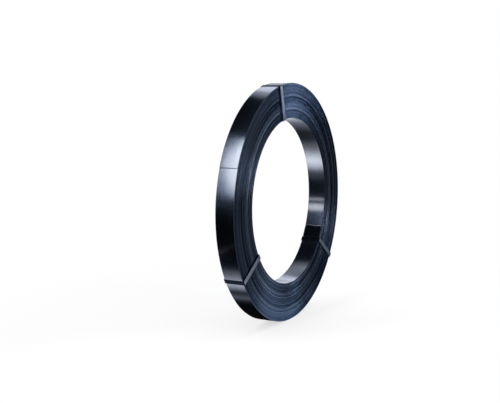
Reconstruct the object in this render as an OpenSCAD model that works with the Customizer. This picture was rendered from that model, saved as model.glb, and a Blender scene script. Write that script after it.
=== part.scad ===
// Coil of blued steel strapping, ribbon wound and held by narrow tie bands, standing on its rim.
// The coil's axis lies along Y and the face seen first looks along -Y. The origin is the centre of the bore.
// The coil is drawn lying down, with its axis along Z and that face up, and stand_up() turns it.
// Angles round the coil are seen from that face, anticlockwise from +X. The turns lie looser at the bottom than at
// the top, so the rim's centre is a little lower than the bore's.

/* [Strapping] */
// Width of the strap, which is the width of the coil
strap_w = 32; // [19:1:51]
// Thickness of the strap
strap_t = 0.9; // [0.5:0.1:1.3]
// Air between one turn and the next, at the top of the coil
turn_gap = 0.01; // [0:0.01:0.05]

/* [Coil] */
// Diameter of the bore
bore_d = 280; // [200:5:410]
// Number of turns
turns = 64; // [20:1:100]
// How much deeper the turns lie at the bottom than at the top
slack = 6; // [0:0.5:10]
// How far the turns wander sideways
wander = 0.5; // [0.2:0.05:0.8]

/* [Ends of the strap] */
// Where the outer end lies on the rim
outer_end_angle = 158.4; // [120:0.2:190]
// Where the inner end lies in the bore
inner_end_angle = -34.6; // [-34.8:0.2:-20]
// Length of the inner end that stays flat
inner_flat = 21.5; // [10:0.5:24]
// How far round the coil the step at each end fades out
step_fade = 70; // [45:1:80]

/* [Tie bands] */
// Width of a tie band
tie_w = 7.5; // [5:0.5:9]
// Thickness of a tie band
tie_t = 0.5; // [0.3:0.05:0.55]
// How far the bands stand off the turns on both faces
tie_stand = 1.2; // [0.5:0.1:3]
// Clearance between the bands and the rim, and between the bands and the bore
tie_gap = 0.05; // [0.02:0.01:0.1]
// Inside radius of the bends
tie_bend = 1.2; // [0.5:0.1:3]
// Length of the lap where the ends of a band are spot welded
tie_lap = 26; // [15:1:35]
// Where the top band lies
top_angle = 102.3; // [95:0.1:110]
// Where the lower left band lies
lower_left_angle = 212.5; // [200:0.1:225]
// Where the lower right band lies
lower_right_angle = -36.5; // [-50:0.1:-36.5]

/* [Hidden] */
$fn = 180;
clear = 1; // how far a cutting body runs past the coil
pitch = strap_t + turn_gap;
bore_r = bore_d / 2;
build = turns * pitch + slack / 2; // mean depth of the turns
rim_r = bore_r + build;
rim_centre = [0, -slack / 2];

// Groups of turns that lie to one side: where a group starts in the build, and its share of the wander
groups = [
    [0.00, 0.0], [0.05, -0.5], [0.10, 0.5], [0.16, -0.7], [0.21, 0.4], [0.28, -0.4], [0.33, 0.3],
    [0.40, 0.0], [0.47, 0.3], [0.54, -1.0], [0.60, -0.3], [0.64, 0.6], [0.78, 0.3], [0.88, 0.7]
];
// Share of the wander by which single turns differ within a group, and the angle it steps by from turn to turn
ripple = 0.3;
ripple_step = 137.5;

// The first turns lie flush with each other as far out as the bore's wall reaches at the top, and so do the last
// two, so that the wall and the steps at the strap's ends cut no turn's edge.
flush = ceil(slack / 2 / (build / turns)) + 1;
function group_shift(share) = [for (g = groups) if (g[0] <= share) g[1]];
function last_of(list) = list[len(list) - 1];
function free_turn(i) = max(flush, min(turns - 2, i));
function raw_shift(i) = last_of(group_shift(i / turns)) + ripple * sin(i * ripple_step);
function shift(i) = wander * (raw_shift(free_turn(i)) - raw_shift(flush));

shifts = [for (i = [0 : turns - 1]) shift(i)];
face_z = strap_w / 2 + max(shifts);
back_z = -strap_w / 2 + min(shifts);

// The step at an end of the strap is cut by a round of this offset from the axis. It is as deep as the strap
// at the end, and meets the coil's own round after step_fade degrees.
step_offset = strap_t / (1 - cos(step_fade));
rim_step_r = rim_r - strap_t + step_offset;
bore_step_r = bore_r + strap_t - step_offset;

// The flat at the inner end is a chord of the bore. It runs a little past the end, so that it meets the step
// inside the bore's own round.
flat_run_on = 1;
flat_half = asin((inner_flat + flat_run_on) / 2 / bore_r);
flat_angle = inner_end_angle + flat_half - asin(flat_run_on / bore_r);
flat_x = bore_r * cos(flat_half);

// Radius of the rim and of the bore at an angle, with the steps and the flat
function past(a, from) = ((a - from) % 360 + 360) % 360;
function ray(a) = [cos(a), sin(a)];
function reach(a, centre, r) = let (along = ray(a) * centre) along + sqrt(r ^ 2 - centre * centre + along ^ 2);
function rim_at(a) =
    past(a, outer_end_angle) < step_fade ? reach(a, rim_centre - step_offset * ray(outer_end_angle), rim_step_r)
        : reach(a, rim_centre, rim_r);
function bore_at(a) =
    past(inner_end_angle, a) < step_fade ? reach(a, step_offset * ray(inner_end_angle), bore_step_r)
        : past(a, inner_end_angle) < 2 * flat_half ? min(bore_r, flat_x / cos(a - flat_angle)) : bore_r;

// Turns a body drawn with its axis along Z so that its upper face looks along -Y
module stand_up() {
    rotate([90, 0, 0]) children();
}

// Every turn is one step of the outline, moved sideways by its own shift. The first runs on inwards, past
// the bore's wall.
module turned_coil() {
    r = [bore_r - slack / 2 - clear, for (i = [1 : turns]) bore_r + i * build / turns];
    near = [for (i = [0 : turns - 1], k = [0, 1]) [r[i + k], strap_w / 2 + shifts[i]]];
    far = [for (i = [turns - 1 : -1 : 0], k = [1, 0]) [r[i + k], -strap_w / 2 + shifts[i]]];
    translate(rim_centre) rotate_extrude() polygon(concat(near, far));
}

// Half of all space, on the side of the coil's middle plane that lies past the angle
module half_turn(angle) {
    size = 2 * (rim_r + clear);
    rotate([0, 0, angle]) translate([-size / 2, 0, -size / 2]) cube([size, size / 2, size]);
}

module tall_round(r) {
    cylinder(r = r, h = 2 * strap_w, center = true);
}

// What is missing from the rim past the strap's outer end
module rim_step() {
    translate(rim_centre) difference() {
        intersection() {
            tall_round(rim_r + clear);
            half_turn(outer_end_angle);
        }
        rotate([0, 0, outer_end_angle]) translate([-step_offset, 0, 0]) tall_round(rim_step_r);
    }
}

// What is missing from the bore before the strap's inner end
module bore_step() {
    intersection() {
        rotate([0, 0, inner_end_angle]) translate([step_offset, 0, 0]) tall_round(bore_step_r);
        half_turn(inner_end_angle + 180);
    }
}

// The bore, with the flat where the inner end of the strap hasn't been pulled round
module bore() {
    difference() {
        tall_round(bore_r);
        rotate([0, 0, flat_angle]) translate([flat_x, -bore_r, -2 * strap_w])
            cube([bore_r, bore_d, 4 * strap_w]);
    }
}

module strap_coil() {
    color("#27303f") stand_up() difference() {
        turned_coil();
        bore();
        bore_step();
        rim_step();
    }
}

// Rounded outline between two corners
module rounded(low, high, r) {
    size = high - low;
    translate(low + [r, 0]) square([size.x - 2 * r, size.y]);
    translate(low + [0, r]) square([size.x, size.y - 2 * r]);
    for (x = [low.x + r, high.x - r], y = [low.y + r, high.y - r]) translate([x, y]) circle(r);
}

// One band, looped round the section of the coil, with its lap on the back
module tie_band(angle) {
    half_angle = asin(tie_w / 2 / bore_r);
    sides = [-half_angle, 0, half_angle];
    bore_seat = min([for (s = sides) bore_at(angle + s) * cos(s)]);
    rim_seat = max([for (s = sides) rim_at(angle + s) * cos(s)]);
    low = [bore_seat - tie_gap, back_z - tie_stand];
    high = [rim_seat + tie_gap, face_z + tie_stand];
    bend = min(tie_bend, tie_stand);
    thick = [tie_t, tie_t];
    color("#5a6577") stand_up() rotate([0, 0, angle]) {
        rotate([90, 0, 0]) linear_extrude(tie_w, center = true) difference() {
            rounded(low - thick, high + thick, bend + tie_t);
            rounded(low, high, bend);
        }
        translate([(low.x + high.x - tie_lap) / 2, -tie_w / 2, low.y - 2 * tie_t])
            cube([tie_lap, tie_w, 1.5 * tie_t]);
    }
}

module tie_band_top() {
    tie_band(top_angle);
}

module tie_band_lower_left() {
    tie_band(lower_left_angle);
}

module tie_band_lower_right() {
    tie_band(lower_right_angle);
}

strap_coil();
tie_band_top();
tie_band_lower_left();
tie_band_lower_right();
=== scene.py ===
import math

import bpy
import numpy as np
from mathutils import Matrix, Vector


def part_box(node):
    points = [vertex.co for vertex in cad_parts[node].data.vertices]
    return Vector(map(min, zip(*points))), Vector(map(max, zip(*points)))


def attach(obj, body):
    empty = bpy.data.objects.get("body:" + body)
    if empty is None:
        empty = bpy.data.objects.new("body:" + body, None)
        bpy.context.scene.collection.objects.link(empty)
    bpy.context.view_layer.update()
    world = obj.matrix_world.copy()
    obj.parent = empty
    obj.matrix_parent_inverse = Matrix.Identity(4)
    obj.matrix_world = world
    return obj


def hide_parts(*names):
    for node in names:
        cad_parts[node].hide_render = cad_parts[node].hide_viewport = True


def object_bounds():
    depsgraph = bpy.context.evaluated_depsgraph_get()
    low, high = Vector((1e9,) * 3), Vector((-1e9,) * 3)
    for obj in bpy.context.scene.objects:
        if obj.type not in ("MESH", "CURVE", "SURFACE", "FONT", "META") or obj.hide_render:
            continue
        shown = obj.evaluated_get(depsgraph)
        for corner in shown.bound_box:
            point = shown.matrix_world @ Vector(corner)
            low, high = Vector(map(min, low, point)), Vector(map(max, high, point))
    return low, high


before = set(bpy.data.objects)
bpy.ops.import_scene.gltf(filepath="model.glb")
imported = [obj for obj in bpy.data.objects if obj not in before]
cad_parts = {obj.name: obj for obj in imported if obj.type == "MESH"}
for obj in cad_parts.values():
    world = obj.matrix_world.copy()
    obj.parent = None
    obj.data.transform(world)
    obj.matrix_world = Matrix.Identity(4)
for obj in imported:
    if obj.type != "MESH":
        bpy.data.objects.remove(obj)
cadLow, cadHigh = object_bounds()
scene = bpy.context.scene
mm = 0.001
print("frame loaded")

# The coil's axis lies along Y, with the seen face towards -Y. Angles round it run from +X towards +Z, in
# degrees. The sizes of its pieces are in millimetres, and those of the studio in metres.


def direction(angle):
    return np.cos(np.radians(angle)), np.sin(np.radians(angle))


def eased(share):
    share = np.clip(share, 0, 1)
    return share * share * (3 - 2 * share)


def makeMesh(name, points, faces, parts=None, notes=None):
    # parts is the material number of each face, and notes holds named numbers for each point
    mesh = bpy.data.meshes.new(name)
    mesh.from_pydata([tuple(p) for p in points], [], faces)
    if parts is not None:
        mesh.polygons.foreach_set("material_index", parts)
    for title, values in (notes or {}).items():
        kept = mesh.attributes.new(title, "FLOAT", "POINT")
        kept.data.foreach_set("value", np.asarray(values, np.float32))
    mesh.validate()
    mesh.shade_smooth()
    piece = bpy.data.objects.new(name, mesh)
    scene.collection.objects.link(piece)
    return piece


def loft(count, size):
    # faces between sections of equally many points, as point numbers, with a flat face at each end
    faces = []
    for i in range(count - 1):
        a, b = i * size, (i + 1) * size
        for k in range(size):
            n = (k + 1) % size
            faces.append((a + k, a + n, b + n, b + k))
    faces.append(tuple(range(size - 1, -1, -1)))
    faces.append(tuple(range((count - 1) * size, count * size)))
    return faces


def lengthAlong(x, z):
    # how far along a path each of its points lies
    return np.concatenate([[0], np.cumsum(np.hypot(np.diff(x), np.diff(z)))])


# Shaders


class Wire:
    # an output of a node, on which sums can be written
    def __init__(self, finish, socket):
        self.finish, self.socket = finish, socket

    def math(self, operation, *terms):
        return self.finish.node("ShaderNodeMath", {"operation": operation}, dict(enumerate(terms)))

    def __add__(self, other):
        return self.math("ADD", self, other)

    def __sub__(self, other):
        return self.math("SUBTRACT", self, other)

    def __rsub__(self, other):
        return self.math("SUBTRACT", other, self)

    def __mul__(self, other):
        return self.math("MULTIPLY", self, other)

    __radd__ = __add__
    __rmul__ = __mul__


class Finish:
    # a material or the world, and the one method that adds nodes to it
    def __init__(self, owner):
        owner.use_nodes = True
        self.tree = owner.node_tree
        self.tree.nodes.clear()
        self.owner = owner

    def node(self, kind, settings=None, sockets=None, out=0):
        made = self.tree.nodes.new(kind)
        for name, value in (settings or {}).items():
            if name == "stops":
                ramp = made.color_ramp.elements
                while len(ramp) < len(value):
                    ramp.new(0.5)
                while len(ramp) > len(value):
                    ramp.remove(ramp[-1])
                for stop, (place, grey) in zip(ramp, value):
                    stop.position = place
                    stop.color = (grey, grey, grey, 1)
            else:
                setattr(made, name, value)
        for name, value in (sockets or {}).items():
            if isinstance(value, Wire):
                self.tree.links.new(value.socket, made.inputs[name])
            else:
                made.inputs[name].default_value = value
        return Wire(self, made.outputs[out]) if made.outputs else None

    def noted(self, title):
        return self.node("ShaderNodeAttribute", {"attribute_name": title}, out="Fac")

    def vector(self, x, y, z):
        return self.node("ShaderNodeCombineXYZ", {}, {0: x, 1: y, 2: z})

    def noise(self, place, scale=1, detail=3, roughness=0.5):
        return self.node("ShaderNodeTexNoise", {}, {
            "Vector": place, "Scale": scale, "Detail": detail, "Roughness": roughness,
        })

    def spread(self, value, low, high, least=0, most=1):
        return self.node("ShaderNodeMapRange", {"interpolation_type": "SMOOTHSTEP"}, {
            "Value": value, "From Min": low, "From Max": high, "To Min": least, "To Max": most,
        })

    def stretch(self, value, begins, full, fades, gone):
        return self.spread(value, begins, full) * self.spread(value, fades, gone, 1, 0)

    def blend(self, share, first, second):
        # a Mix node's colour sockets are numbers 6 and 7, and its colour result is number 2
        first, second = (c if isinstance(c, Wire) else (*c, 1) for c in (first, second))
        return self.node("ShaderNodeMix", {"data_type": "RGBA"}, {0: share, 6: first, 7: second}, out=2)

    def bump(self, height, strength, distance):
        return self.node("ShaderNodeBump", {}, {
            "Height": height, "Strength": strength, "Distance": distance,
        })

    def steel(self, sockets):
        surface = self.node("ShaderNodeBsdfPrincipled", {}, {"Metallic": 1, **sockets})
        self.node("ShaderNodeOutputMaterial", {}, {"Surface": surface})


def newFinish(name):
    return Finish(bpy.data.materials.new(name))


# The strap, wound as one long ribbon

strap = {
    "wide": 32, "thick": 0.9, "corner": 0.28,
    "boreRadius": 140, "depth": 60.34,  # from the first turn's inner face to the last turn's
    "drop": 3,  # how much lower the last turn's centre is than the bore's
    "innerEnd": -34.6, "round": 22873,  # where the ribbon starts, and how far round it runs
    "steps": 63, "firstStep": 325, "lastStep": 22548, "stepLong": 70,  # each turn climbs the one below here
    "flatMiddle": -30.4, "flatHalf": 4.61,  # the flat at the inner end, which runs to a kink
    "stations": 120,  # for each turn
    "kinkStations": (-0.3, 0, 0.3), "endStations": (-0.3, -0.15),  # more, by the kink and the outer end
    "glance": 0.2,  # how far behind and ahead of a station the way along is taken from
    "endPressed": 0.3, "endLong": 1,  # share by which the shears pressed the outer end thin, and how far in
    "flushFirst": 5, "flushLast": 2,  # turns that lie level, at the bore and at the rim
    "wander": 0.5,  # how far groups of turns lie to one side
    "ripple": 0.3, "rippleStep": 137.5,  # how turns differ in a group, and the angle from one to the next
    "proud": 0.7, "proudShare": 0.22,  # how much further single turns stand out, and the share that do
    "mix": 0.618,  # share of a round that puts neighbouring turns well apart
    "crossFrom": 90, "crossWithin": 180, "crossLong": 100,  # where in a turn the ribbon moves over
    "sway": 0.25, "swayTwice": 0.5,  # how far a turn sways, and the weight of what comes twice a turn
    "swayOn": (2.4, 4.08),  # how far both waves of the sway are turned on from group to group, in radians
    "settle": 3,  # turns in which the sway begins, and ends
    "groups": [  # where each group starts, as a share of the turns, and how far it lies to one side
        (0.00, 0.0), (0.05, -0.5), (0.10, 0.5), (0.16, -0.7), (0.21, 0.4), (0.28, -0.4), (0.33, 0.3),
        (0.40, 0.0), (0.47, 0.3), (0.54, -1.0), (0.60, -0.3), (0.64, 0.6), (0.78, 0.3), (0.88, 0.7),
    ],
}


def strapPath(turned):
    # inner face of the ribbon at these angles along it: places across X and Z
    spacing = (strap["lastStep"] - strap["firstStep"]) / (strap["steps"] - 1)
    nearest = np.clip(np.round((turned - strap["firstStep"]) / spacing), 0, strap["steps"] - 1)
    past = (turned - strap["firstStep"] - nearest * spacing) / strap["stepLong"]
    climbed = (nearest + eased(past + 0.5)) / strap["steps"]
    angle = strap["innerEnd"] + turned
    radius = strap["boreRadius"] + strap["depth"] * climbed
    flatHalf = strap["flatHalf"]
    fromMiddle = np.minimum(np.abs(angle - strap["flatMiddle"]), flatHalf)
    chord = strap["boreRadius"] * math.cos(math.radians(flatHalf)) / np.cos(np.radians(fromMiddle))
    radius = np.where(fromMiddle < flatHalf, chord, radius)
    x, z = direction(angle)
    return radius * x, radius * z - strap["drop"] * climbed


def sideways(turned):
    # how far each place on the ribbon lies towards the seen face
    count = strap["steps"] + 1
    turns = np.arange(count + 1)
    starts, levels = np.array(strap["groups"]).T
    group = np.searchsorted(starts, turns / count, side="right") - 1
    held = levels[group] + strap["ripple"] * np.sin(np.radians(turns * strap["rippleStep"]))
    held += strap["proud"] * (turns * strap["mix"] % 1 < strap["proudShare"])
    first, last = strap["flushFirst"], count - strap["flushLast"]
    held[:first] = held[first]
    held[last:] = held[last]
    held = strap["wander"] * (held - held[first])
    whole = np.floor(turned / 360).astype(int)
    change = strap["crossFrom"] + strap["crossWithin"] * (whole * strap["mix"] % 1)
    share = eased((turned % 360 - change) / strap["crossLong"])
    base = held[whole] * (1 - share) + held[whole + 1] * share
    turn, settle = turned / 360, strap["settle"]
    free = eased((turn - first) / settle) * eased((count - settle - turn) / settle)
    onceOn, twiceOn = strap["swayOn"]
    wave = np.sin(np.radians(turned) + onceOn * group[whole])
    wave += strap["swayTwice"] * np.sin(np.radians(2 * turned) + twiceOn * group[whole])
    return base + strap["sway"] * free * wave / (1 + strap["swayTwice"])


def strapSection():
    # the ribbon's section, three points to a corner: across its width, and out from its inner face
    half, thick, r = strap["wide"] / 2, strap["thick"], strap["corner"]
    corners = [(r - half, thick - r, 180), (half - r, thick - r, 90), (half - r, r, 0), (r - half, r, 270)]
    section = []
    for across, out, start in corners:
        for k in range(3):
            x, z = direction(start - 45 * k)
            section.append((across + r * x, out + r * z))
    return np.array(section)


def markFlatEnds(mesh, size, corners):
    # sharp edges where the flats of a lofted strip meet its rounded corners, and round its two cut ends
    pairs = np.empty(len(mesh.edges) * 2, int)
    mesh.edges.foreach_get("vertices", pairs)
    pairs = pairs.reshape(-1, 2)
    along = pairs % size
    sharp = (along[:, 0] == along[:, 1]) & np.isin(along[:, 0], corners)
    sharp |= (pairs < size).all(1) | (pairs >= len(mesh.vertices) - size).all(1)
    mesh.attributes.new("sharp_edge", "BOOLEAN", "EDGE").data.foreach_set("value", sharp)


def windStrap():
    end = strap["round"]
    kink = strap["flatMiddle"] + strap["flatHalf"] - strap["innerEnd"]
    more = [kink + step for step in strap["kinkStations"]] + [end + step for step in strap["endStations"]]
    turned = np.union1d(np.linspace(0, end, round(end / 360 * strap["stations"])), more)
    rimRadius = strap["boreRadius"] + strap["depth"] + strap["thick"]
    toEnd = np.radians(end - turned) * rimRadius
    thin = 1 - strap["endPressed"] * eased(1 - toEnd / strap["endLong"])
    x, z = strapPath(turned)
    ahead, behind = strapPath(turned + strap["glance"]), strapPath(turned - strap["glance"])
    along = np.stack([ahead[0] - behind[0], ahead[1] - behind[1]])
    along /= np.hypot(*along)
    outX, outZ = along[1], -along[0]  # the ribbon turns anticlockwise, so this points outwards
    section = strapSection()
    size = len(section)
    out = section[:, 1] * thin[:, None]
    points = np.empty((len(turned), size, 3))
    points[:, :, 0] = x[:, None] + outX[:, None] * out
    points[:, :, 1] = section[:, 0] - sideways(turned)[:, None]
    points[:, :, 2] = z[:, None] + outZ[:, None] * out
    faces = loft(len(turned), size)
    flats = (2, 8)  # the points of the section that its outer and its inner flat start from
    parts = [0 if number % size in flats else 1 for number in range(len(faces) - 2)] + [1, 1]
    notes = {
        "turnsRound": np.repeat(turned / 360, size),
        "metresAlong": np.repeat(lengthAlong(x, z) * mm, size),
        "metresAcross": np.tile(section[:, 0] * mm, len(turned)),
    }
    piece = makeMesh("strap", points.reshape(-1, 3) * mm, faces, parts, notes)
    markFlatEnds(piece.data, size, [point for flat in flats for point in (flat, flat + 1)])
    return piece, (turned, x, z, outX, outZ)


strapPiece, strapRun = windStrap()
print("strap wound:", len(strapPiece.data.polygons), "faces")

# The tie bands, each one strip round the section with its ends lapped and spot welded on the far face

tie = {
    "wide": 7.5, "thick": 0.5, "edge": 0.12, "bend": 1.2,
    "clearance": 0.05,  # from the rim and from the bore
    "seatPast": 0.1,  # how far past its sides, in degrees, the turns under a band are looked at
    "lap": 26, "lift": 3,  # length of the lap, and of the upper end's climb onto it
    "lowerSteps": 26, "upperSteps": 52, "liftSteps": 6,
    "bendSteps": 6, "straightSteps": 4, "acrossPoints": 13,
    "welds": (-8, 0, 8), "weldWide": 1.5, "weldDeep": 0.16,  # places along the lap, radius and depth
    "faceFrom": 1.5,  # how far in from the rim and the bore the face's finish is full
    "sharpFrom": 35,  # edges that bend by more than this stay sharp
    "angles": {"top": 102.3, "lowerLeft": 212.5, "lowerRight": -36.5},
}


def seats(angle):
    # nearest and farthest reach of the turns under a band
    turned, x, z, outX, outZ = strapRun
    half = math.degrees(math.asin(tie["wide"] / 2 / strap["boreRadius"])) + tie["seatPast"]
    under = np.abs((strap["innerEnd"] + turned - angle + 180) % 360 - 180) <= half
    alongX, alongZ = direction(angle)
    inner = x * alongX + z * alongZ
    outer = inner + strap["thick"] * (outX * alongX + outZ * alongZ)
    return inner[under].min(), outer[under].max()


def bandPath(low, high):
    # middle plane of the band, from the start of the lap round to it again, then on over the lap
    thick, lap, lift = tie["thick"], tie["lap"], tie["lift"]
    r = tie["bend"] + thick / 2
    left, right = low[0] - thick / 2, high[0] + thick / 2
    bottom, top = low[1] - thick / 2, high[1] + thick / 2
    middle = (left + right) / 2
    lapStart = middle - lap / 2
    path = [(lapStart + lap * k / tie["lowerSteps"], bottom) for k in range(tie["lowerSteps"] + 1)]
    path.append((middle + lap / 2 + lift, bottom))
    bends = [  # the centre of each bend, the angle where it starts, and the end of the straight after it
        (right - r, bottom + r, -90, (right, top - r)),
        (right - r, top - r, 0, (left + r, top)),
        (left + r, top - r, 90, (left, bottom + r)),
        (left + r, bottom + r, 180, (lapStart - lift, bottom)),
    ]
    for centreX, centreZ, start, (toX, toZ) in bends:
        for k in range(tie["bendSteps"] + 1):
            x, z = direction(start + 90 * k / tie["bendSteps"])
            path.append((centreX + r * x, centreZ + r * z))
        fromX, fromZ = path[-1]
        for k in range(1, tie["straightSteps"]):
            share = k / tie["straightSteps"]
            path.append((fromX + (toX - fromX) * share, fromZ + (toZ - fromZ) * share))
    for k in range(tie["liftSteps"] + 1):
        share = k / tie["liftSteps"]
        path.append((lapStart - lift * (1 - share), bottom - thick * eased(share)))
    for k in range(1, tie["upperSteps"] + 1):
        path.append((lapStart + lap * k / tie["upperSteps"], bottom - thick))
    return np.array(path), middle


def bandSection():
    # the band's section: across its width, and out from its middle plane
    half, thick, edge = tie["wide"] / 2, tie["thick"] / 2, tie["edge"]
    outer = [(across, thick) for across in np.linspace(half - edge, -half + edge, tie["acrossPoints"])]
    oneSide = [(-half, thick - edge), (-half, edge - thick)]
    inner = [(-half + edge, -thick), (half - edge, -thick)]
    otherSide = [(half, edge - thick), (half, thick - edge)]
    return np.array(outer + oneSide + inner + otherSide)


def makeBand(name, node, angle):
    boreSeat, rimSeat = seats(angle)
    nodeLow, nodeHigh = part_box(node)
    low = (boreSeat - tie["clearance"], -nodeHigh[1] / mm + 2 * tie["thick"])
    high = (rimSeat + tie["clearance"], -nodeLow[1] / mm - tie["thick"])
    path, middle = bandPath(low, high)
    along = np.gradient(path, axis=0)
    along /= np.hypot(*along.T)[:, None]
    out = np.stack([along[:, 1], -along[:, 0]], 1)
    section = bandSection()
    across, stand = section[:, 0], section[:, 1]
    radial = path[:, 0][:, None] + out[:, 0][:, None] * stand
    toFace = path[:, 1][:, None] + out[:, 1][:, None] * stand
    overLap = np.arange(len(path)) >= len(path) - tie["upperSteps"] - 1
    for place in tie["welds"]:
        away = np.hypot(path[:, 0][:, None] - middle - place, across[None, :])
        toFace += tie["weldDeep"] * (1 - eased(away / tie["weldWide"])) * (stand > 0) * overLap[:, None]
    outX, outZ = direction(angle)
    points = np.empty((len(path), len(section), 3))
    points[:, :, 0] = radial * outX - across * outZ
    points[:, :, 1] = -toFace
    points[:, :, 2] = radial * outZ + across * outX
    fromEnds = np.minimum(path[:, 0] - low[0], high[0] - path[:, 0])
    notes = {
        "metresAlong": np.repeat(lengthAlong(*path.T) * mm, len(section)),
        "metresAcross": np.tile(across * mm, len(path)),
        # 0 on the rim and in the bore, where the band's colour is painted shade
        "onFace": np.repeat(eased(fromEnds / tie["faceFrom"]), len(section)),
    }
    piece = makeMesh(name, points.reshape(-1, 3) * mm, loft(len(path), len(section)), None, notes)
    piece.data.set_sharp_from_angle(angle=math.radians(tie["sharpFrom"]))
    return piece


nodeOf = {"top": "tie_band_top", "lowerLeft": "tie_band_lower_left", "lowerRight": "tie_band_lower_right"}
tiePieces = {}
for spot, angle in tie["angles"].items():
    tiePieces[spot] = makeBand("tieBand" + spot[0].upper() + spot[1:], nodeOf[spot], angle)
print("tie bands bent")

# Finishes

flatLook = {
    "dark": (0.015, 0.026, 0.049), "light": (0.030, 0.045, 0.076), "tint": (0.6, 0.7, 0.95, 1),
    # of the next two colours, the first is painted light (a painted highlight and reflection) and the second
    # painted shade
    "paintedSheen": (0.36, 0.37, 0.43), "paintedDark": (0.002, 0.004, 0.008),
    "roughness": 0.17, "coatRoughness": 0.13, "coatIor": 1.65,
    # where each painted mark begins and is full, and where it fades and is gone, in turns from the inner end
    "paintedReflectionInBore": (0.131, 0.150, 0.165, 0.215), "paintedHighlightOnKink": (0.0234, 0.0240, 0.0248, 0.0254),
    # the mask of the painted shade on the inner end's flat
    "paintedDarkFlat": (0.0234, 0.0238),  # where it fades and is gone
}


def strapFlatFinish():
    f = newFinish("bluedStrapFlat")
    along, across, turns = f.noted("metresAlong"), f.noted("metresAcross"), f.noted("turnsRound")
    streaks = f.noise(f.vector(along * 5, across * 900, 0), detail=4, roughness=0.6)
    clouds = f.noise(f.vector(along * 14, across * 50, 0))
    tone = f.spread(clouds * 0.6 + streaks * 0.4, 0.35, 0.65)
    colour = f.blend(tone, flatLook["dark"], flatLook["light"])
    # painted light: a painted highlight along the kink, and a painted reflection in a part of the bore
    inBore, kink = f.stretch(turns, *flatLook["paintedReflectionInBore"]), f.stretch(turns, *flatLook["paintedHighlightOnKink"])
    paintedSheen = (inBore * 0.15 + kink * 0.9) * (0.75 + 0.5 * clouds)
    colour = f.blend(paintedSheen, colour, flatLook["paintedSheen"])
    # painted shade: a dark reflection painted on the flat at the inner end, which is also given less coat and
    # is duller
    flatEnd = f.spread(turns, *flatLook["paintedDarkFlat"], 1, 0)
    colour = f.blend(flatEnd * 0.95, colour, flatLook["paintedDark"])
    f.steel({
        "Base Color": colour, "Roughness": flatLook["roughness"] + 0.07 * streaks + 0.05 * clouds,
        "Specular Tint": flatLook["tint"], "Coat Weight": (0.85 + 0.15 * clouds) * (1 - 0.8 * flatEnd),
        "Coat Roughness": flatLook["coatRoughness"], "Coat IOR": flatLook["coatIor"],
        "Normal": f.bump(streaks, 0.08, 0.0002),
    })
    return f.owner


edgeLook = {
    "dark": (0.005, 0.011, 0.023), "light": (0.195, 0.25, 0.36), "tint": (0.5, 0.6, 0.8, 1),
    "roughness": 0.21,
    "groups": [  # how light the groups of turns are, as shares of the turns from the bore out
        (0.0, 0.6), (0.1, 0.62), (0.3, 0.55), (0.44, 0.36), (0.49, 0.06),
        (0.6, 0.08), (0.65, 0.55), (0.9, 0.45), (1.0, 0.75),
    ],
    "singlesFade": (20, 34),  # turns over which single light turns start to stand out less
    # the angle round the coil of the slit edges' painted shade, and the two angles of their painted sheen
    "paintedShadeAt": 318, "paintedSheenAt": (252, 84),  # angles round the coil
}


def sector(f, turns, middle):
    # 1 at this angle round the coil, fading to 0 within 26 degrees
    past = (turns - (middle - strap["innerEnd"]) / 360) * (2 * math.pi)
    return f.spread(f.node("ShaderNodeMath", {"operation": "COSINE"}, {0: past}), 0.9, 1)


def slitEdgeFinish():
    f = newFinish("bluedSlitEdge")
    along, turns = f.noted("metresAlong"), f.noted("turnsRound")
    share = turns * (360 / strap["round"])
    group = f.node("ShaderNodeValToRGB", {"stops": edgeLook["groups"]}, {0: share})
    few = f.noise(f.vector(turns * 0.2, along * 0.07, 4), detail=1)
    grouped = group * (0.17 + f.spread(few, 0.4, 0.6, 0, 0.45))
    single = f.noise(f.vector(turns * 0.9, along * 0.25, 0), detail=0)
    singles = f.spread(turns, *edgeLook["singlesFade"], 1, 0.45) * f.spread(single, 0.58, 0.66, 0, 0.75)
    # painted shade darkens the edges towards the lower right, and painted sheen lightens them along the
    # bottom and at the top
    paintedShadeSector = sector(f, turns, edgeLook["paintedShadeAt"])
    bottom, top = edgeLook["paintedSheenAt"]
    paintedSheenSectors = sector(f, turns, bottom) + sector(f, turns, top)
    tone = grouped * (1 - 0.9 * paintedShadeSector) + singles * (1 - 0.1 * paintedShadeSector) + 0.18 * paintedSheenSectors
    burr = f.noise(f.vector(along * 300, turns * 3, 0), roughness=0.6)
    f.steel({
        "Base Color": f.blend(tone, edgeLook["dark"], edgeLook["light"]),
        "Roughness": edgeLook["roughness"] + 0.06 * burr,
        "Specular Tint": edgeLook["tint"], "Normal": f.bump(burr, 0.015, 0.0001),
    })
    return f.owner


tieLook = {
    # the two colours that the streaks vary between, painted light on the face, and painted shade on the rim
    # and in the bore
    "light": ((0.29, 0.36, 0.48), (0.42, 0.5, 0.63)), "dark": ((0.003, 0.004, 0.008), (0.008, 0.01, 0.018)),
    "tint": (0.6, 0.65, 0.8, 1), "roughness": 0.3,
}


def tieFinish():
    f = newFinish("tieSteel")
    along, across, face = f.noted("metresAlong"), f.noted("metresAcross"), f.noted("onFace")
    streaks = f.noise(f.vector(along * 12, across * 1200, 0), detail=4, roughness=0.6)
    clouds = f.noise(f.vector(along * 70, across * 120, 0))
    tone = f.spread(clouds * 0.5 + streaks * 0.5, 0.3, 0.7)
    light, dark = f.blend(tone, *tieLook["light"]), f.blend(tone, *tieLook["dark"])
    # the band is painted light on the face and painted shade, near black, on the rim and in the bore
    f.steel({
        "Base Color": f.blend(face, dark, light), "Roughness": tieLook["roughness"] + 0.18 * streaks,
        "Specular Tint": tieLook["tint"], "Normal": f.bump(streaks, 0.15, 0.0001),
    })
    return f.owner


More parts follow.
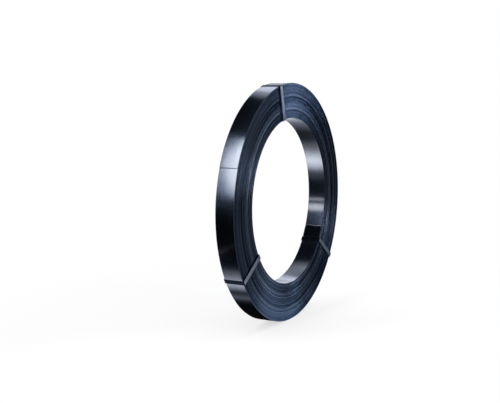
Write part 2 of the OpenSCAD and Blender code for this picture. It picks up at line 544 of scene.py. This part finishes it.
flatSteel, tieSteel = strapFlatFinish(), tieFinish()
strapPiece.data.materials.append(flatSteel)
strapPiece.data.materials.append(slitEdgeFinish())
for band in tiePieces.values():
    band.data.materials.append(tieSteel)

# The CAD nodes stay for collision, and carry the same finishes
for node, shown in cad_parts.items():
    shown.data.materials.clear()
    shown.data.materials.append(flatSteel if node == "strap_coil" else tieSteel)
print("finishes mixed")

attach(strapPiece, "root")
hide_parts("strap_coil")
for spot, band in tiePieces.items():
    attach(band, "root")
    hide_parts(nodeOf[spot])
print("pieces joined to the frame")

# Studio

white = (1, 1, 1, 1)
studio = {
    "floorRadius": 8, "floorSides": 72, "floorColour": (0.96, 0.96, 0.965), "floorMottle": 0.97,
    "fadeFrom": 0.2, "fadeTo": 0.7,  # where the floor starts to pass into the white, and where it has
    "fadeLeast": 0.65,  # share of the floor that is white before that
    "worldLight": 0.92,  # strength of the white around for rays that aren't seen
}


def seenRays(f):
    # 1 for rays from the camera, off gloss and through glass
    names = ("Is Camera Ray", "Is Glossy Ray", "Is Transmission Ray")
    rays = [f.node("ShaderNodeLightPath", out=name) for name in names]
    return f.node("ShaderNodeMath", {"operation": "MINIMUM"}, {0: rays[0] + rays[1] + rays[2], 1: 1})


def makeFloor():
    height, reach, sides = cadLow.z, studio["floorRadius"], studio["floorSides"]
    ring = [direction(360 / sides * k) for k in range(sides)]
    points = [(0, 0, height)] + [(reach * x, reach * y, height) for x, y in ring]
    floor = makeMesh("floor", points, [(0, 1 + k, 1 + (k + 1) % sides) for k in range(sides)])
    f = newFinish("paleFloor")
    place = f.node("ShaderNodeTexCoord", out="Object")
    away = f.node("ShaderNodeVectorMath", {"operation": "LENGTH"}, {0: place}, out="Value")
    pale, darker = studio["floorColour"], tuple(studio["floorMottle"] * c for c in studio["floorColour"])
    matt = f.node("ShaderNodeBsdfDiffuse", {}, {"Color": f.blend(f.noise(place, 30, 2), pale, darker)})
    light = f.node("ShaderNodeEmission", {}, {"Color": white, "Strength": 1})
    share = f.spread(away, studio["fadeFrom"], studio["fadeTo"], studio["fadeLeast"])
    surface = f.node("ShaderNodeMixShader", {}, {0: share * seenRays(f), 1: matt, 2: light})
    f.node("ShaderNodeOutputMaterial", {}, {"Surface": surface})
    floor.data.materials.append(f.owner)


def lightWorld():
    world = bpy.data.worlds.new("studioAir")
    scene.world = world
    f = Finish(world)
    strength = studio["worldLight"] + (1 - studio["worldLight"]) * seenRays(f)
    light = f.node("ShaderNodeBackground", {}, {"Color": white, "Strength": strength})
    f.node("ShaderNodeOutputWorld", {}, {"Surface": light})


lamps = {
    # middle, where the lamp looks, which way its long side runs, width and length, and how bright a mirror
    # would show it
    "softLeftHigh": {"place": (-0.665, 0.308, 0.45), "looks": (0, -1, 0), "long": (0.603, 0, 0.798),
                     "size": (0.15, 0.72), "shine": 12.5},
    "softLeftLow": {"place": (-0.53, 0.308, 0.15), "looks": (0, -1, 0), "long": (1, 0, 0),
                    "size": (0.10, 0.13), "shine": 9},
    "softLeftLine": {"place": (-0.55, 0.308, 0.03), "looks": (0, -1, 0), "long": (1, 0, 0),
                     "size": (0.03, 0.14), "shine": 7},
    "softRight": {"place": (0.60, 0.308, 0.17), "looks": (0, -1, 0), "long": (0, 0, 1),
                  "size": (0.16, 0.18), "shine": 1.1},
    "softTop": {"place": (0.43, 0.308, 0.56), "looks": (0, -1, 0), "long": (0, 0, 1),
                "size": (0.14, 0.14), "shine": 0.9},
    "softFront": {"place": (1.05, -0.43, 0.50), "looks": (-0.84, 0.34, -0.4), "long": (0, 0, 1),
                  "size": (0.32, 0.28), "shine": 7},
    "softFrontLow": {"place": (0.38, -1.25, 0.17), "looks": (-0.29, 0.95, -0.1), "long": (0, 0, 1),
                     "size": (0.28, 0.32), "shine": 13},
    "softSide": {"place": (1.03, -0.39, 0.225), "looks": (-0.915, 0.35, -0.2), "long": (0, 0, 1),
                 "size": (0.16, 0.2), "shine": 4.5},
}


def aimed(place, looks, long):
    # a frame at the place that looks down its own Z and whose Y follows the long side
    away = -Vector(looks).normalized()
    side = Vector(long).cross(away).normalized()
    return Matrix.Translation(place) @ Matrix((side, away.cross(side), away)).transposed().to_4x4()


def hangLamps():
    for name, lamp in lamps.items():
        data = bpy.data.lights.new(name, "AREA")
        data.shape = "RECTANGLE"
        data.size, data.size_y = lamp["size"]
        data.energy = lamp["shine"] * math.pi * lamp["size"][0] * lamp["size"][1]
        hung = bpy.data.objects.new(name, data)
        hung.matrix_world = aimed(lamp["place"], lamp["looks"], lamp["long"])
        hung.visible_camera = False
        scene.collection.objects.link(hung)


def facing(y, *corners):
    return [(x, y, z) for x, z in corners]


def lying(z, *corners):
    return [(x, y, z) for x, y in corners]


def standing(start, end, startTop, endTop, foot=-0.2):
    return [(*start, foot), (*end, foot), (*end, endTop), (*start, startTop)]


behindLamps, overFloor = 0.32, -0.2025
cards = {
    # cards that only gloss shows, black unless they have a shine, which says how bright they are at most. The
    # stops say what share of it shows across the card, from -X to +X
    "cardBack": {"corners": facing(behindLamps, (0.22, 0.20), (0.22, 0.95), (-1.4, 0.95), (-1.4, -0.20),
                                   (-0.40, -0.20), (-0.20, 0.20))},
    "cardEdge": {"corners": facing(behindLamps, (0.22, 0.20), (0.22, 0.95), (0.34, 0.95), (0.34, 0.20)),
                 "shine": 1, "stops": [(0, 0), (1, 1)]},
    "cardInner": {"corners": facing(0.15, (-0.23, 0.13), (0.06, 0.13), (0.06, 0.42), (-0.23, 0.42))},
    "cardTop": {"corners": facing(behindLamps, (0.595, 0.24), (0.75, 0.24), (0.70, 0.50), (0.50, 0.43)),
                "shine": 0.6},
    "floorNear": {"corners": lying(overFloor, (-0.80, -0.02), (-0.03, -0.02), (-0.03, 0.10), (-0.80, 0.17)),
                  "shine": 2.8,
                  "stops": [(0.69, 0), (0.715, 0.03), (0.757, 0.38), (0.785, 0.9), (0.805, 1),
                            (0.822, 0.3), (0.834, 0), (0.842, 0.05), (0.858, 0.2), (0.865, 0.1),
                            (0.872, 0.02), (0.885, 0)]},
    "floorFar": {"corners": lying(overFloor, (-0.80, 0.17), (0, 0.10), (0.80, 0.10), (0.80, 0.50),
                                  (-0.80, 0.50)),
                 "shine": 6,
                 "stops": [(0.25, 0), (0.39, 0.08), (0.46, 1), (0.52, 0.2), (0.57, 0.01), (0.62, 0.01),
                           (0.68, 0.06), (0.9, 0.13)]},
    "floorLeft": {"corners": lying(overFloor, (-1.4, 0.01), (-0.80, 0.01), (-0.80, 0.50), (-1.4, 0.50))},
    "floorFront": {"corners": lying(overFloor, (-1.2, -1.2), (0.5, -1.4), (1.35, -0.05), (-1.2, -0.03)),
                   "shine": 0.4, "stops": [(0, 1), (0.5, 1), (0.58, 0.25), (0.7, 0.25), (0.76, 0.45)]},
    "floorGlow": {"corners": lying(-0.202, (-0.12, -0.02), (-0.12, -0.14), (0.12, -0.14), (0.12, -0.02)),
                  "shine": 1.6, "stops": [(0, 0.2), (0.3, 1), (0.6, 1), (0.9, 0.15)]},
    "cardFront": {"corners": standing((-1.2, -1.2), (0.5, -1.4), 0.9, 0.9)},
    "cardRight": {"corners": standing((1.35, -0.05), (0.5, -1.4), 0.32, 0.9)},
    "cardSide": {"corners": standing((1.35, 0.45), (1.35, -0.05), 0.32, 0.32)},
}


def cardFinish(name, shine, stops):
    f = newFinish(name)
    grain = f.noise(f.node("ShaderNodeTexCoord", out="Object"), 200, 2)
    matt = f.blend(grain, (0.008, 0.008, 0.009), (0.012, 0.012, 0.013))
    dark = f.node("ShaderNodeBsdfDiffuse", {}, {"Color": matt})
    generated = f.node("ShaderNodeTexCoord", out="Generated")
    across = f.node("ShaderNodeSeparateXYZ", {}, {0: generated}, out="X")
    ramp = f.node("ShaderNodeValToRGB", {"stops": stops}, {0: across})
    light = f.node("ShaderNodeEmission", {}, {"Color": ramp, "Strength": shine})
    surface = f.node("ShaderNodeAddShader", {}, {0: dark, 1: light})
    f.node("ShaderNodeOutputMaterial", {}, {"Surface": surface})
    return f.owner


def standCards():
    for name, card in cards.items():
        stood = makeMesh(name, card["corners"], [tuple(range(len(card["corners"])))])
        stood.data.materials.append(cardFinish(name, card.get("shine", 0), card.get("stops", [(0, 1)])))
        for rays in ("camera", "diffuse", "transmission", "shadow"):
            setattr(stood, "visible_" + rays, False)


view = {
    "azimuth": -63.73, "elevation": 7.532, "distance": 1.6104,
    "focal": 946.7, "frame": (500, 403), "boreAt": (282.79, 200.31),  # in pixels
}


def aimCamera():
    azimuth, elevation = math.radians(view["azimuth"]), math.radians(view["elevation"])
    level = math.cos(elevation)
    back = Vector((math.sin(azimuth) * level, -math.cos(azimuth) * level, math.sin(elevation)))
    right = Vector((math.cos(azimuth), math.sin(azimuth), 0))
    up = back.cross(right)
    aside = (view["boreAt"][0] - view["frame"][0] / 2) / view["focal"]
    below = (view["boreAt"][1] - view["frame"][1] / 2) / view["focal"]
    yaw, pitch = math.atan(aside), math.atan(-below / math.hypot(1, aside))
    ahead = -back * math.cos(yaw) - right * math.sin(yaw)
    right = right * math.cos(yaw) - back * math.sin(yaw)
    leaned = ahead * math.cos(pitch) - up * math.sin(pitch)
    up = up * math.cos(pitch) + ahead * math.sin(pitch)
    data = bpy.data.cameras.new("camera")
    data.sensor_width = 36
    data.lens = view["focal"] / view["frame"][0] * data.sensor_width
    camera = bpy.data.objects.new("camera", data)
    turned = Matrix((right, up, -leaned)).transposed().to_4x4()
    camera.matrix_world = Matrix.Translation(back * view["distance"]) @ turned
    scene.collection.objects.link(camera)
    scene.camera = camera


makeFloor()
lightWorld()
hangLamps()
standCards()
aimCamera()
scene.view_settings.view_transform = "Standard"
print("studio set")
